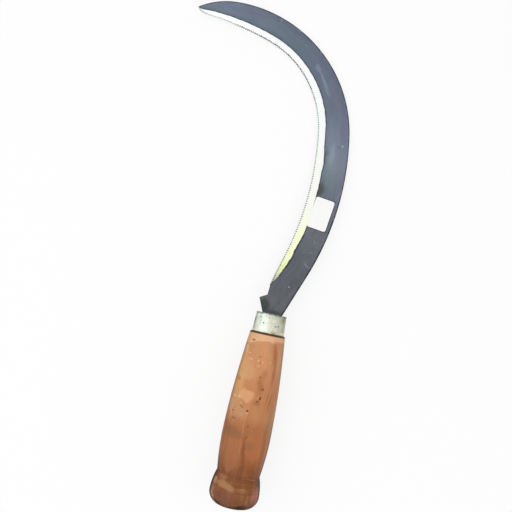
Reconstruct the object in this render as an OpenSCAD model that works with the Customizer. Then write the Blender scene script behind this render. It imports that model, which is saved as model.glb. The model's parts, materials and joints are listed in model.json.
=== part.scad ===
// Hand sickle: a toothed plate blade with its tang in a turned wooden handle, held by a steel ferrule.
// The tool is drawn along its handle: the ferrule's mouth at y = 0, the tip towards +Y, the ground side up.
// It is then laid down as it rests on a table, on the grip of its handle and on the back of its blade.

/* [Plate] */
// Thickness of the steel plate that the blade and tang are cut from
plate_t = 2.4; // [1.6:0.1:3.2]
// Width of the neck where it leaves the ferrule
neck_w = 16.3; // [13:0.1:18]
// Distance from the handle's axis to the back of the neck
neck_back = 8.5; // [7:0.1:9]
// Direction in which the neck leaves the ferrule, from the X axis
neck_lean = 69.5; // [64:0.5:76]
// Length of the straight neck along its back
neck_len = 38; // [25:1:50]

/* [Back of the blade] */
// Radius of the lower bend
lower_r = 230; // [190:1:280]
// Turn of the lower bend
lower_turn = 31; // [24:0.5:36]
// Radius of the main bend
main_r = 108.4; // [98:0.2:125]
// Turn of the main bend
main_turn = 83; // [70:0.5:90]
// Radius of the back at the nose
nose_r = 60; // [50:1:90]
// Turn of the back at the nose
nose_turn = 32; // [24:0.5:38]

/* [Width of the blade] */
// Distance along the back to the heel
heel_s = 8.5; // [6:0.5:14]
// Width at the heel, where the cutting edge ends
heel_w = 19.5; // [17:0.5:22]
// Distance along the back to the widest place
belly_s = 122; // [90:1:150]
// Width at the widest place
belly_w = 27.6; // [23:0.2:31]
// Length of the nose, where the edge rounds in to the tip
nose_len = 78; // [60:1:95]
// Width where the nose begins
nose_w = 22.8; // [18:0.2:23]
// Width of the blunt tip
tip_w = 2.6; // [1.5:0.1:4]
// Reach of the heel's spur from the handle's axis
spur_x = 12.8; // [11:0.1:15]
// Height of the spur above the ferrule's mouth
spur_y = 11.5; // [9:0.1:13]

/* [Cutting edge] */
// Width of the ground bevel at the widest place
bevel_w = 7.2; // [4:0.1:10]
// Thickness left at the cutting edge
edge_t = 0.3; // [0.15:0.05:0.8]
// Distance along the back to the bevel's first touch
bevel_s = 16; // [14:1:30]
// Length over which the bevel grows to its full width
bevel_run = 40; // [20:1:70]
// Pitch of the teeth
tooth_pitch = 1.9; // [1.6:0.1:4]
// Depth of the teeth
tooth_h = 0.8; // [0.4:0.1:1.2]
// Share of the pitch that the steep flank takes, on the handle's side
tooth_rake = 0.3; // [0.2:0.05:0.8]

/* [Tang] */
// Length of the tang inside the handle
tang_len = 95; // [60:1:110]
// Width of the tang above its point
tang_w = 5; // [4:0.5:10]
// Length of the tang's point
tang_point = 6; // [3:0.5:12]
// Thickness that the tang is drawn down to at its point
tang_point_t = 1.4; // [0.8:0.1:1.6]
// Clearance round the tang in its slot
tang_fit = 0.15; // [0.05:0.05:0.3]

/* [Ferrule] */
// Length of the ferrule
ferrule_l = 16; // [10:0.5:22]
// Outer diameter at the mouth
mouth_d = 25; // [24.5:0.1:27]
// Outer diameter at the base
base_d = 26.4; // [25:0.1:28]
// Thickness of the ferrule's wall
ferrule_wall = 1; // [0.6:0.1:1.3]
// Size of the small bevels on the ferrule's rims
rim = 0.25; // [0.1:0.05:0.3]
// Clearance between the ferrule and the wood
ferrule_fit = 0.05; // [0.02:0.01:0.2]
// Depth of the wood's end below the ferrule's mouth
end_sink = 0.8; // [0.3:0.1:2]

/* [Handle] */
// Length of the handle from the ferrule's mouth to the end of the knob
handle_l = 158.5; // [152:0.5:170]
// Diameter of the shoulder that the ferrule meets
shoulder_d = 28.8; // [28.4:0.2:32]
// Rounding of the shoulder
shoulder_r = 1.2; // [0.5:0.1:2]
// Distance from the mouth to the thickest place of the grip
grip_y = 101; // [80:1:112]
// Diameter of the grip at its thickest place
grip_d = 39.6; // [34:0.2:44]
// Distance from the end of the handle up to the groove above the knob
groove_up = 28; // [24:0.5:32]
// Diameter at the bottom of the groove
groove_d = 35; // [30:0.2:38]
// Distance from the end of the handle up to the knob's thickest place
knob_up = 11.5; // [9:0.5:15]
// Diameter of the knob
knob_d = 40.6; // [38:0.2:44]
// Diameter of the flat end of the knob
end_d = 16; // [8:0.5:24]
// Height of the crown on the knob's end
crown_h = 0.6; // [0:0.1:2]

/* [Price label] */
// Length of the blank paper label
label_l = 26; // [18:1:32]
// Width of the label
label_w = 16; // [10:1:18]
// Thickness of the label
label_t = 0.15; // [0.1:0.05:0.3]
// Radius of the label's corners
label_r = 1.8; // [0.5:0.1:3]
// Distance along the back to the label's middle
label_s = 91; // [70:1:240]
// Gap between the bevel and the label
label_gap = 0.4; // [0.2:0.1:2]

/* [Resting] */
// Distance along the back to the place that touches the table
rest_s = 240; // [225:0.5:255]

/* [Hidden] */
$fn = 96;

// Longest step between points on a bend, and between rings of the bevel's cut
bend_step = 4;
ring_step = 6;
// How far a cut reaches past the solid that it cuts, and the tang up in to the neck
past = 2;
// Powers that shape the nose: how long it holds its width, and how bluntly it then closes
nose_hold = 2.2;
nose_close = 0.62;
// Power of the grip's swell and of the groove's flare in to the knob
swell_power = 1.9;
flare_power = 2;

// A stop on the blade's back is [distance along it, x, y, heading]
function along(from, radius, len) =
    let (to = from[3] + len / radius * 180 / PI)
    let (x = from[1] + radius * (sin(to) - sin(from[3])))
    let (y = from[2] - radius * (cos(to) - cos(from[3])))
    [from[0] + len, x, y, to];
function arc_len(radius, turn) = radius * turn * PI / 180;
function on_neck(s) = [s, neck_back + s * cos(neck_lean), s * sin(neck_lean), neck_lean];

neck_end = on_neck(neck_len);
lower_end = along(neck_end, lower_r, arc_len(lower_r, lower_turn));
main_end = along(lower_end, main_r, arc_len(main_r, main_turn));
back_len = main_end[0] + arc_len(nose_r, nose_turn);
nose_s = back_len - nose_len;

// The blade's back at distance s from the ferrule's mouth
function back_at(s) =
    s < neck_end[0] ? on_neck(s)
    : s < lower_end[0] ? along(neck_end, lower_r, s - neck_end[0])
    : s < main_end[0] ? along(lower_end, main_r, s - lower_end[0])
    : along(main_end, nose_r, s - main_end[0]);

// The place that lies w in from the back, square to it
function inside(s, w) = let (b = back_at(s)) [b[1] - w * sin(b[3]), b[2] + w * cos(b[3])];

// The edge swells from the heel, eases in along the main bend and runs in to the tip
function quarter(t) = sqrt(max(0, 1 - t * t));
function ease(t) = (1 - cos(180 * t)) / 2;
function taper_in(t) = t < 1 ? pow(1 - pow(t, nose_hold), nose_close) : 0;
function width_at(s) =
    s < belly_s ? heel_w + (belly_w - heel_w) * quarter((belly_s - s) / (belly_s - heel_s))
    : s < nose_s ? belly_w + (nose_w - belly_w) * ease((s - belly_s) / (nose_s - belly_s))
    : tip_w + (nose_w - tip_w) * taper_in((s - nose_s) / nose_len);

// The bevel keeps its share of the blade's width, once the grinding has run in
function bevel_full(s) = bevel_w * width_at(s) / belly_w;
function run_in(s) = sin(90 * min(1, max(0, s - bevel_s) / bevel_run));

// How far the edge moves for each millimetre along the back
function edge_speed(s) = norm(inside(s + 1, width_at(s + 1)) - inside(s, width_at(s)));
tooth_stops = [for (s = bevel_s; s < back_len - tooth_pitch; s = s + tooth_pitch / edge_speed(s)) s];
function tooth(s) = [
    inside(s, width_at(s) - tooth_h),
    let (c = s + tooth_rake * tooth_pitch / edge_speed(s)) inside(c, width_at(c))
];

function bend_points(from, to) =
    let (n = ceil((to - from) / bend_step)) [for (i = [1 : n]) inside(from + (to - from) * i / n, 0)];
back_points = concat(
    [inside(0, 0), inside(neck_end[0], 0)],
    bend_points(neck_end[0], lower_end[0]),
    bend_points(lower_end[0], main_end[0]),
    bend_points(main_end[0], back_len)
);
edge_points = [for (s = tooth_stops) each tooth(s)];
heel_points = [inside(heel_s, heel_w), [-spur_x, spur_y], [neck_back - neck_w, 0]];

// The tang seen from above and from its side, grown by a clearance, from inside the neck down to its point
function tang_points(fit) = [
    [neck_back - neck_w - fit, past],
    [neck_back - neck_w - fit, 0],
    [-tang_w / 2 - fit, tang_point - tang_len],
    [0, -tang_len - fit],
    [tang_w / 2 + fit, tang_point - tang_len],
    [neck_back + fit, 0],
    [neck_back + fit, past]
];
function tang_side(fit) =
    let (root = plate_t / 2 + fit, end = tang_point_t / 2 + fit)
    [[past, root], [0, root], [-tang_len - fit, end], [-tang_len - fit, -end], [0, -root], [past, -root]];
module tang(fit) {
    intersection() {
        translate([0, 0, -plate_t / 2 - fit]) linear_extrude(plate_t + 2 * fit) polygon(tang_points(fit));
        translate([-neck_w, 0, 0]) rotate([90, 0, 90]) linear_extrude(2 * neck_w) polygon(tang_side(fit));
    }
}

// Three corners of the bevel's cut at a stop: above the blade, beyond the edge below, beyond the edge above
function bevel_ring(s) =
    let (w = width_at(s), full = bevel_full(s), slope = (plate_t - edge_t) / full, ground = full * run_in(s))
    let (a = inside(s, w - ground - past / slope), b = inside(s, w + past), top = plate_t / 2)
    [[a[0], a[1], top + past], [b[0], b[1], top - slope * (ground + past)], [b[0], b[1], top + past]];

module bevel_cut() {
    last_s = back_len + past;
    n = ceil((last_s - bevel_s) / ring_step);
    rings = [for (i = [0 : n]) bevel_ring(bevel_s + (last_s - bevel_s) * i / n)];
    sides = [for (i = [0 : n - 1], k = [0 : 2])
        let (a = 3 * i + k, b = 3 * i + (k + 1) % 3) each [[a, a + 3, b], [b, a + 3, b + 3]]];
    ends = [[0, 1, 2], [3 * n + 2, 3 * n + 1, 3 * n]];
    polyhedron([for (r = rings) each r], concat(sides, ends));
}

module blade() {
    edge_down = [for (i = [len(edge_points) - 1 : -1 : 0]) edge_points[i]];
    outline = concat(back_points, [inside(back_len, tip_w)], edge_down, heel_points);
    color("slategray") {
        difference() {
            translate([0, 0, -plate_t / 2]) linear_extrude(plate_t) polygon(outline);
            bevel_cut();
        }
        tang(0);
    }
}

// The handle's profile is drawn with the distance from the ferrule's mouth as its height, and turned along -Y
module turned(profile) {
    rotate([90, 0, 0]) rotate_extrude() polygon(profile);
}

module ferrule() {
    mouth_r = mouth_d / 2;
    base_r = base_d / 2;
    color("lightgray")
    turned([
        [mouth_r - ferrule_wall + rim, 0],
        [mouth_r - rim, 0],
        [mouth_r, rim],
        [base_r, ferrule_l - rim],
        [base_r - rim, ferrule_l],
        [base_r - ferrule_wall, ferrule_l],
        [mouth_r - ferrule_wall, rim]
    ]);
}

// Radius of the wood at distance y from the mouth
// The grip swells, draws in to the groove, and ends in the knob
wood_y = ferrule_l + ferrule_fit;
grip_top = wood_y + shoulder_r;
groove_y = handle_l - groove_up;
knob_y = handle_l - knob_up;
knob_end = handle_l - crown_h;
function grip_r(y) =
    let (span = y < grip_y ? grip_y - wood_y : groove_y - grip_y)
    let (drop = y < grip_y ? (grip_d - shoulder_d) / 2 : (grip_d - groove_d) / 2)
    grip_d / 2 - drop * pow(abs(y - grip_y) / span, swell_power);
function knob_r(y) =
    y < knob_y
    ? knob_d / 2 - (knob_d - groove_d) / 2 * pow((knob_y - y) / (knob_y - groove_y), flare_power)
    : end_d / 2 + (knob_d - end_d) / 2 * quarter((y - knob_y) / (knob_end - knob_y));

// The wood's outline below the ferrule, with this many stops along the grip, up the knob and round its end
grip_n = 30;
knob_n = 8;
end_n = 12;
wood_outline = concat(
    [for (a = [0 : 15 : 90])
        [grip_r(grip_top) - shoulder_r * (1 - sin(a)), wood_y + shoulder_r * (1 - cos(a))]],
    [for (i = [1 : grip_n]) let (y = grip_top + (groove_y - grip_top) * i / grip_n) [grip_r(y), y]],
    [for (i = [1 : knob_n]) let (y = groove_y + (knob_y - groove_y) * i / knob_n) [knob_r(y), y]],
    [for (i = [1 : end_n]) let (y = knob_y + (knob_end - knob_y) * sin(90 * i / end_n)) [knob_r(y), y]]
);

module handle() {
    spigot_r = mouth_d / 2 - ferrule_wall - ferrule_fit;
    root_r = base_d / 2 - ferrule_wall - ferrule_fit;
    sunk_r = spigot_r + (root_r - spigot_r) * end_sink / ferrule_l;
    color("peru")
    difference() {
        turned(concat([[0, end_sink], [sunk_r, end_sink], [root_r, wood_y]], wood_outline, [[0, handle_l]]));
        tang(tang_fit);
    }
}

module price_label() {
    at = back_at(label_s);
    middle = inside(label_s, width_at(label_s) - bevel_full(label_s) - label_gap - label_w / 2);
    color("white")
    translate([middle[0], middle[1], plate_t / 2])
        rotate([0, 0, at[3] - 90])
            linear_extrude(label_t)
                union() {
                    square([label_w - 2 * label_r, label_l], center = true);
                    square([label_w, label_l - 2 * label_r], center = true);
                    for (x = [-1, 1], y = [-1, 1])
                        translate([x * (label_w / 2 - label_r), y * (label_l / 2 - label_r)]) circle(label_r);
                }
}

// Laid down, the tool touches the table at one stop of the blade's back and under its grip.
// The blade leans towards that stop, square to the back there, as far as the proudest ring of the wood asks.
rest = back_at(rest_s);
lean = [sin(rest[3]), -cos(rest[3])];
rest_reach = lean * [rest[1], rest[2]];
function lean_for(ring) =
    let (reach = rest_reach + lean[1] * ring[1])
    asin(ring[0] / norm([reach, plate_t / 2])) - atan(plate_t / 2 / reach);
lean_deg = max([for (ring = wood_outline) lean_for(ring)]);
lift = sin(lean_deg) * rest_reach + cos(lean_deg) * plate_t / 2;
middle_x = (max([for (p = back_points) p[0]]) + min([for (p = back_points) p[0]])) / 2;
middle_y = (max([for (p = back_points) p[1]]) - handle_l) / 2;

module laid_down() {
    translate([-middle_x, -middle_y, lift]) rotate(a = lean_deg, v = [-lean[1], lean[0], 0]) children();
}

laid_down() blade();
laid_down() ferrule();
laid_down() handle();
laid_down() price_label();
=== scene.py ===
# Hand sickle on a pale floor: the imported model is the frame, and its pieces are remade here with their finishes
import json
import random
from math import atan2, cos, exp, hypot, pi, radians, sin, sqrt

import bmesh
import bpy
from mathutils import Matrix, Vector, noise


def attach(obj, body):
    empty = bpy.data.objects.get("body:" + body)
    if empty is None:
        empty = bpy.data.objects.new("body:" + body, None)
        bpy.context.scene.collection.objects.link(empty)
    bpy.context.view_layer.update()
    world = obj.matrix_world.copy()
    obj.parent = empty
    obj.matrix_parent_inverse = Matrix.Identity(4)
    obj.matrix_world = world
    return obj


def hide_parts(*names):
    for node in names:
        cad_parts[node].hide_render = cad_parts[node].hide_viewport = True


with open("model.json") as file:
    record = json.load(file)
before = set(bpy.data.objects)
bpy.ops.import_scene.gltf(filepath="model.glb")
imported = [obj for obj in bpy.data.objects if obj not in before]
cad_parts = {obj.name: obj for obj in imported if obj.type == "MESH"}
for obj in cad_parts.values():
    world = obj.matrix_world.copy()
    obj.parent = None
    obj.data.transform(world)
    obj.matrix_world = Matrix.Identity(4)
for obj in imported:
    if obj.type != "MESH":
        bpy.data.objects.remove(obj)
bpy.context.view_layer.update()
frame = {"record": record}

mm = 0.001

# The tool's own frame, in millimetres: y runs up the handle to the blade, z is the ground side,
# and 0 is the middle of the ferrule's mouth
mounts = {mount["name"]: mount for mount in frame["record"]["mounts"]}
gripToMouth = 101  # from the grip's mount to the ferrule's mouth
alongTool = -Vector(mounts["grip"]["axis"]).normalized()
upTool = -Vector(mounts["blade_flat"]["axis"])
upTool = (upTool - upTool.project(alongTool)).normalized()
sideTool = alongTool.cross(upTool)
mouthAt = Vector(mounts["grip"]["pos_m"]) + alongTool * gripToMouth * mm
toolTurn = Matrix((sideTool, alongTool, upTool)).transposed()
toolPlace = Matrix.Translation(mouthAt) @ toolTurn.to_4x4() @ Matrix.Scale(mm, 4)


def colour(*shade):
    # A colour as a picture shows it, 0 to 255, in the linear values that a shader takes
    shares = [value / 255 for value in shade]
    return (*(share / 12.92 if share < 0.04045 else ((share + 0.055) / 1.055) ** 2.4 for share in shares), 1)


# Nodes
class Wire:
    # A node's output: a formula of such outputs makes the nodes that work it out
    def __init__(self, socket):
        self.socket = socket

    def __add__(self, other):
        return calc("ADD", self, other)

    def __sub__(self, other):
        return calc("SUBTRACT", self, other)

    def __rsub__(self, other):
        return calc("SUBTRACT", other, self)

    def __mul__(self, other):
        return calc("MULTIPLY", self, other)

    def __truediv__(self, other):
        return calc("DIVIDE", self, other)

    __radd__ = __add__


def addNode(kind, values=None, tree=None, **settings):
    # The tree is the one that the wires among the values are in, unless it is given
    values = values or {}
    if tree is None:
        tree = next(value for value in values.values() if isinstance(value, Wire)).socket.id_data
    node = tree.nodes.new("ShaderNode" + kind)
    for name, value in settings.items():
        setattr(node, name, value)
    plug(node, values)
    return node


def plug(node, values):
    for key, value in values.items():
        if isinstance(value, Wire):
            node.id_data.links.new(value.socket, node.inputs[key])
        else:
            node.inputs[key].default_value = value


def wire(kind, values=None, output=0, tree=None, **settings):
    return Wire(addNode(kind, values, tree, **settings).outputs[output])


def isVector(value):
    return isinstance(value, tuple) or isinstance(value, Wire) and value.socket.type == "VECTOR"


def calc(operation, *values):
    # Works with vectors where one of the values is a vector
    if not any(map(isVector, values)):
        return wire("Math", dict(enumerate(values)), operation=operation)
    output = "Value" if operation == "LENGTH" else "Vector"
    return wire("VectorMath", dict(enumerate(values)), output, operation=operation)


def split(vector):
    return [Wire(output) for output in addNode("SeparateXYZ", {0: vector}).outputs]


def attribute(near, name, output="Fac"):
    # The node goes in to the tree that the wire near is in
    return wire("Attribute", None, output, near.socket.id_data, attribute_name=name)


def fade(value, start, end, low=0, high=1):
    # Runs from low at start to high at end, with soft ends
    values = {"Value": value, "From Min": start, "From Max": end, "To Min": low, "To Max": high}
    return wire("MapRange", values, interpolation_type="SMOOTHSTEP")


def mixColour(factor, below, above, blend="MIX"):
    return wire("Mix", {0: factor, 6: below, 7: above}, 2, data_type="RGBA", blend_type=blend)


def mixValue(factor, below, above):
    return wire("Mix", {0: factor, 2: below, 3: above})


def cover(base, mask, strength, shade):
    # Lays a picture's colour over the base
    return mixColour(mask * strength, base, colour(*shade))


def dim(base, mask, strength, shares):
    # Takes the base's red, green and blue down, or up, to these shares
    return mixColour(mask * strength, base, (*shares, 1), "MULTIPLY")


def ramp(value, stops):
    node = addNode("ValToRGB", {0: value})
    elements = node.color_ramp.elements
    while len(elements) < len(stops):
        elements.new(0.5)
    for element, at in zip(elements, stops):
        element.position = at
    for element, shade in zip(elements, stops.values()):
        element.color = colour(*shade)
    return Wire(node.outputs[0])


def bump(height, depth, under=None):
    values = {"Height": height, "Distance": depth * mm, "Strength": 1}
    if under is not None:
        values["Normal"] = under
    return wire("Bump", values)


def newGroup(name, inputs):
    # Every group puts out one mask
    tree = bpy.data.node_groups.new(name, "ShaderNodeTree")
    for label, value in inputs.items():
        kind = "NodeSocketVector" if isinstance(value, tuple) else "NodeSocketFloat"
        tree.interface.new_socket(label, in_out="INPUT", socket_type=kind).default_value = value
    tree.interface.new_socket("Mask", in_out="OUTPUT", socket_type="NodeSocketFloat")
    return tree, [Wire(socket) for socket in tree.nodes.new("NodeGroupInput").outputs[:len(inputs)]]


def closeGroup(tree, mask):
    # Gives back what places the group in a material, with values in the order of its inputs
    plug(tree.nodes.new("NodeGroupOutput"), {"Mask": mask})
    return lambda *values: wire("Group", dict(enumerate(values)), node_tree=tree)


def makeStreaks():
    # Noise drawn out along an axis: grain, scratches, clouds
    tree, (vector, scale, detail, low, high, stretch, distortion) = newGroup("stretchedNoise", {
        "Vector": (0, 0, 0), "Scale": 1, "Detail": 3, "Low": 0.4, "High": 0.6, "Stretch": (1, 1, 1), "Distortion": 0})
    cloud = wire("TexNoise", {
        "Vector": vector * stretch, "Scale": scale, "Detail": detail, "Roughness": 0.6, "Distortion": distortion})
    return closeGroup(tree, fade(cloud, low, high))


def makeSpots():
    # Scattered spots, of which only a share of the cells has one
    tree, (vector, scale, size, share, softness) = newGroup("scatteredSpots", {
        "Vector": (0, 0, 0), "Scale": 1, "Size": 0.3, "Share": 0.3, "Softness": 0.5})
    cells = addNode("TexVoronoi", {"Vector": vector, "Scale": scale}).outputs
    dot = fade(Wire(cells["Distance"]), size, size * (1 - softness))
    chance = wire("SeparateColor", {0: Wire(cells["Color"])})
    return closeGroup(tree, dot * calc("LESS_THAN", chance, share))


def makeMark():
    # One soft oval mark at a place, turned about the tool's z axis
    tree, (vector, centre, size, turn, softness) = newGroup("placedMark", {
        "Vector": (0, 0, 0), "Centre": (0, 0, 0), "Size": (1, 1, 1), "Turn": 0, "Softness": 0.5})
    turned = wire("VectorRotate", {"Vector": vector - centre, "Angle": turn * -1}, rotation_type="Z_AXIS")
    return closeGroup(tree, fade(calc("LENGTH", turned / size), 1, 1 - softness))


def makeRubbed():
    # Wear or dirt that follows a rim and breaks up along it
    tree, (vector, distance, width, scale, breakup) = newGroup("rubbedRim", {
        "Vector": (0, 0, 0), "Distance": 0, "Width": 1, "Scale": 1, "Breakup": 0.5})
    cloud = wire("TexNoise", {"Vector": vector, "Scale": scale, "Detail": 4})
    lost = fade(cloud, 0.35, 0.65) * breakup
    width = width * (1 - lost)
    return closeGroup(tree, fade(distance, width, width * 0.35) * (1 - lost * 0.5))


streaks, spots, placedMark, rubbed = makeStreaks(), makeSpots(), makeMark(), makeRubbed()


def newMaterial(name):
    # The material, its shader, and Object coordinates turned in to the tool's own millimetres
    material = bpy.data.materials.new(name)
    material.use_nodes = True
    tree = material.node_tree
    where = wire("TexCoord", None, "Object", tree)
    values = {"Vector": where, "Location": mouthAt, "Rotation": toolTurn.to_euler(), "Scale": (mm, mm, mm)}
    return material, tree.nodes["Principled BSDF"], wire("Mapping", values, vector_type="TEXTURE")


def ragged(vector, scale, reach):
    # Shakes coordinates a little, so that what is placed by them gets an uneven rim
    shake = wire("TexNoise", {"Vector": vector, "Scale": scale, "Detail": 3}, "Color")
    return vector + (shake - (0.5, 0.5, 0.5)) * (2 * reach, 2 * reach, 2 * reach)


def markMask(vector, at, size, turn, softness):
    return placedMark(vector, at, size, radians(turn), softness)


def paintMarks(vector, base, marks):
    # A mark is its centre, half its size, its turn in degrees, softness, strength and colour
    for *place, strength, shade in marks:
        base = cover(base, markMask(vector, *place), strength, shade)
    return base


# Meshes
def addObject(name, data):
    thing = bpy.data.objects.new(name, data)
    bpy.context.scene.collection.objects.link(thing)
    return thing


def asMesh(bm, name):
    mesh = bpy.data.meshes.new(name)
    bm.to_mesh(mesh)
    bm.free()
    return mesh


def finishPiece(bm, name, node, material, sharp=35):
    bmesh.ops.recalc_face_normals(bm, faces=bm.faces[:])
    bm.transform(toolPlace)
    mesh = asMesh(bm, name)
    mesh.shade_smooth()
    mesh.set_sharp_from_angle(angle=radians(sharp))
    mesh.materials.append(material)
    piece = addObject(name, mesh)
    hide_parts(node)
    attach(piece, "root")
    print(name, "made with", sum(len(face.vertices) - 2 for face in mesh.polygons), "triangles")
    return piece


def gridSlab(columns, rows, thickness):
    # A slab with its top at z = 0, that runs from 0 to 1 in x and y and has this many cuts
    bm = bmesh.new()
    bmesh.ops.create_grid(bm, x_segments=columns, y_segments=rows, size=0.5)
    bmesh.ops.translate(bm, verts=bm.verts[:], vec=(0.5, 0.5, 0))
    slab = bmesh.ops.extrude_face_region(bm, geom=bm.faces[:])
    lower = [item for item in slab["geom"] if isinstance(item, bmesh.types.BMVert)]
    bmesh.ops.translate(bm, verts=lower, vec=(0, 0, -thickness))
    return bm


def spinProfile(profile, steps, closed):
    # Turns a chain of (radius, distance below the mouth) about the handle's axis
    bm = bmesh.new()
    verts = [bm.verts.new((radius, -below, 0)) for radius, below in profile]
    edges = [bm.edges.new(pair) for pair in zip(verts, verts[1:])]
    if closed:
        edges.append(bm.edges.new((verts[-1], verts[0])))
    bmesh.ops.spin(bm, geom=verts + edges, cent=(0, 0, 0), axis=(0, 1, 0), angle=2 * pi, steps=steps, use_merge=True)
    bmesh.ops.remove_doubles(bm, verts=bm.verts[:], dist=0.001)
    return bm


def growEnd(bm, end):
    # Extrudes the end faces, and takes away the ones that would be left inside
    grown = bmesh.ops.extrude_face_region(bm, geom=end)
    bmesh.ops.delete(bm, geom=end, context="FACES")
    return [item for item in grown["geom"] if isinstance(item, bmesh.types.BMFace)]


def vertsOf(faces):
    return {vert for face in faces for vert in face.verts}


def spread(start, end, count):
    return [start + (end - start) * i / count for i in range(1, count + 1)]


def rounded(near, radius):
    # How far a rounded corner falls at this distance from the side
    return 0 if near >= radius else radius - sqrt(max(0, radius * radius - (radius - near) ** 2))


def dentDepth(dents, point):
    total = 0
    for at, radius, depth in dents:
        near = (point - at).length_squared / (radius * radius)
        if near < 9:
            total += depth * exp(-near)
    return total


def unevenness(*place):
    # Smooth noise from 0 to 1
    return 0.5 + 0.5 * noise.noise(Vector(place))


# Blade
blade = {
    "plateT": 2.4, "neckW": 16.3, "neckBack": 8.5, "neckLean": 69.5, "neckLen": 38,
    "lowerR": 230, "lowerTurn": 31, "mainR": 108.4, "mainTurn": 83, "noseR": 60, "noseTurn": 32,
    "heelS": 8.5, "heelW": 19.5, "bellyS": 122, "bellyW": 27.6, "noseLen": 78, "noseW": 22.8, "tipW": 2.6,
    "noseHold": 2.2, "noseClose": 0.62, "spurX": 12.8, "spurY": 11.5,
    "spurStops": (5.4, 8.6), "spurCuts": (7, 4, 6),  # where the spur and the heel are along the back, and cuts between
    "bevelW": 7.2, "edgeT": 0.3, "bevelS": 16, "bevelRun": 40,
    "toothPitch": 1.9, "toothH": 0.8, "toothRake": 0.3,
    "tangLen": 95, "tangW": 5, "tangPoint": 6, "tangPointT": 1.4, "tangFit": 0.15, "tangRows": (-18, -40, -65),
    "corner": 0.35,  # rounding along the back and the heel
    # How far the grinding went past the bevel's even line, in millimetres, at places along the back
    "stray": (
        (16, 0.4), (20, 0.9), (25, 1.5), (30, 1.2), (36, 0.9), (44, 0.3), (52, -0.5), (56, -0.45), (61, 0),
        (70, 0.5), (86, 0.3), (108, 0), (126, 0), (135, 0.5), (144, -0.1), (151, -0.6), (163, -0.6), (175, -0.2),
        (200, 0), (230, -0.15), (262, -0.3), (292, -0.35), (314, 0), (330, 0.35), (343, 1.3), (353, 1.3),
    ),
    "ripple": 0.2, "rippleLen": 5,  # a finer unevenness on top of it
    "waveDepth": 0.07, "waveLen": 16, "waveFrom": 3,  # hammer waves in the plate, which set in near the back
    "grooveDepth": 0.16, "grooveReach": 6,  # the file's cuts behind the teeth, on the flat side
    "toothParts": (0, 0.15, 0.3, 0.53, 0.77),  # stops along each tooth, as shares of its pitch
    "backRows": (0, 0.1, 0.35),  # rows that round the back, in millimetres from it
    "flatRows": 12,
    "bevelRows": (0.06, 0.25, 0.45, 0.62, 0.77, 0.93, 1),  # as shares of the bevel
    "leastBevel": 1.5, "mostBevel": 0.6,  # its rows keep at least this width, and at most this share of the blade's
    "noRidge": -4, "noEdge": 20, "tangRun": 8,  # what the materials read where there is no ridge and no edge
}


def bend(start, radius, length):
    s, x, y, heading = start
    to = heading + length / radius
    return (s + length, x + radius * (sin(to) - sin(heading)), y - radius * (cos(to) - cos(heading)), to)


def onNeck(s):
    lean = radians(blade["neckLean"])
    return (s, blade["neckBack"] + s * cos(lean), s * sin(lean), lean)


neckEnd = onNeck(blade["neckLen"])
lowerEnd = bend(neckEnd, blade["lowerR"], blade["lowerR"] * radians(blade["lowerTurn"]))
mainEnd = bend(lowerEnd, blade["mainR"], blade["mainR"] * radians(blade["mainTurn"]))
backLen = mainEnd[0] + blade["noseR"] * radians(blade["noseTurn"])
noseS = backLen - blade["noseLen"]


def backAt(s):
    if s < neckEnd[0]:
        return onNeck(s)
    if s < lowerEnd[0]:
        return bend(neckEnd, blade["lowerR"], s - neckEnd[0])
    if s < mainEnd[0]:
        return bend(lowerEnd, blade["mainR"], s - lowerEnd[0])
    return bend(mainEnd, blade["noseR"], s - mainEnd[0])


def inside(s, w):
    _, x, y, heading = backAt(s)
    return Vector((x - w * sin(heading), y + w * cos(heading), 0))


def widthAt(s):
    if s < blade["bellyS"]:
        share = (blade["bellyS"] - s) / (blade["bellyS"] - blade["heelS"])
        return blade["heelW"] + (blade["bellyW"] - blade["heelW"]) * sqrt(max(0, 1 - share * share))
    if s < noseS:
        share = (1 - cos(pi * (s - blade["bellyS"]) / (noseS - blade["bellyS"]))) / 2
        return blade["bellyW"] + (blade["noseW"] - blade["bellyW"]) * share
    share = min(1, (s - noseS) / blade["noseLen"])
    return blade["tipW"] + (blade["noseW"] - blade["tipW"]) * (1 - share ** blade["noseHold"]) ** blade["noseClose"]


def bevelFull(s):
    return blade["bevelW"] * widthAt(s) / blade["bellyW"]


def groundAt(s):
    return bevelFull(s) * sin(pi / 2 * min(1, max(0, s - blade["bevelS"]) / blade["bevelRun"]))


def strayAt(s):
    for (start, low), (end, high) in zip(blade["stray"], blade["stray"][1:]):
        if s <= end:
            share = max(0, (s - start) / (end - start))
            return low + (high - low) * share * share * (3 - 2 * share)
    return high


def edgeSpeed(s):
    return (inside(s + 1, widthAt(s + 1)) - inside(s, widthAt(s))).length


def gapAt(s):
    return inside(s, widthAt(s) - blade["toothH"])


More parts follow.
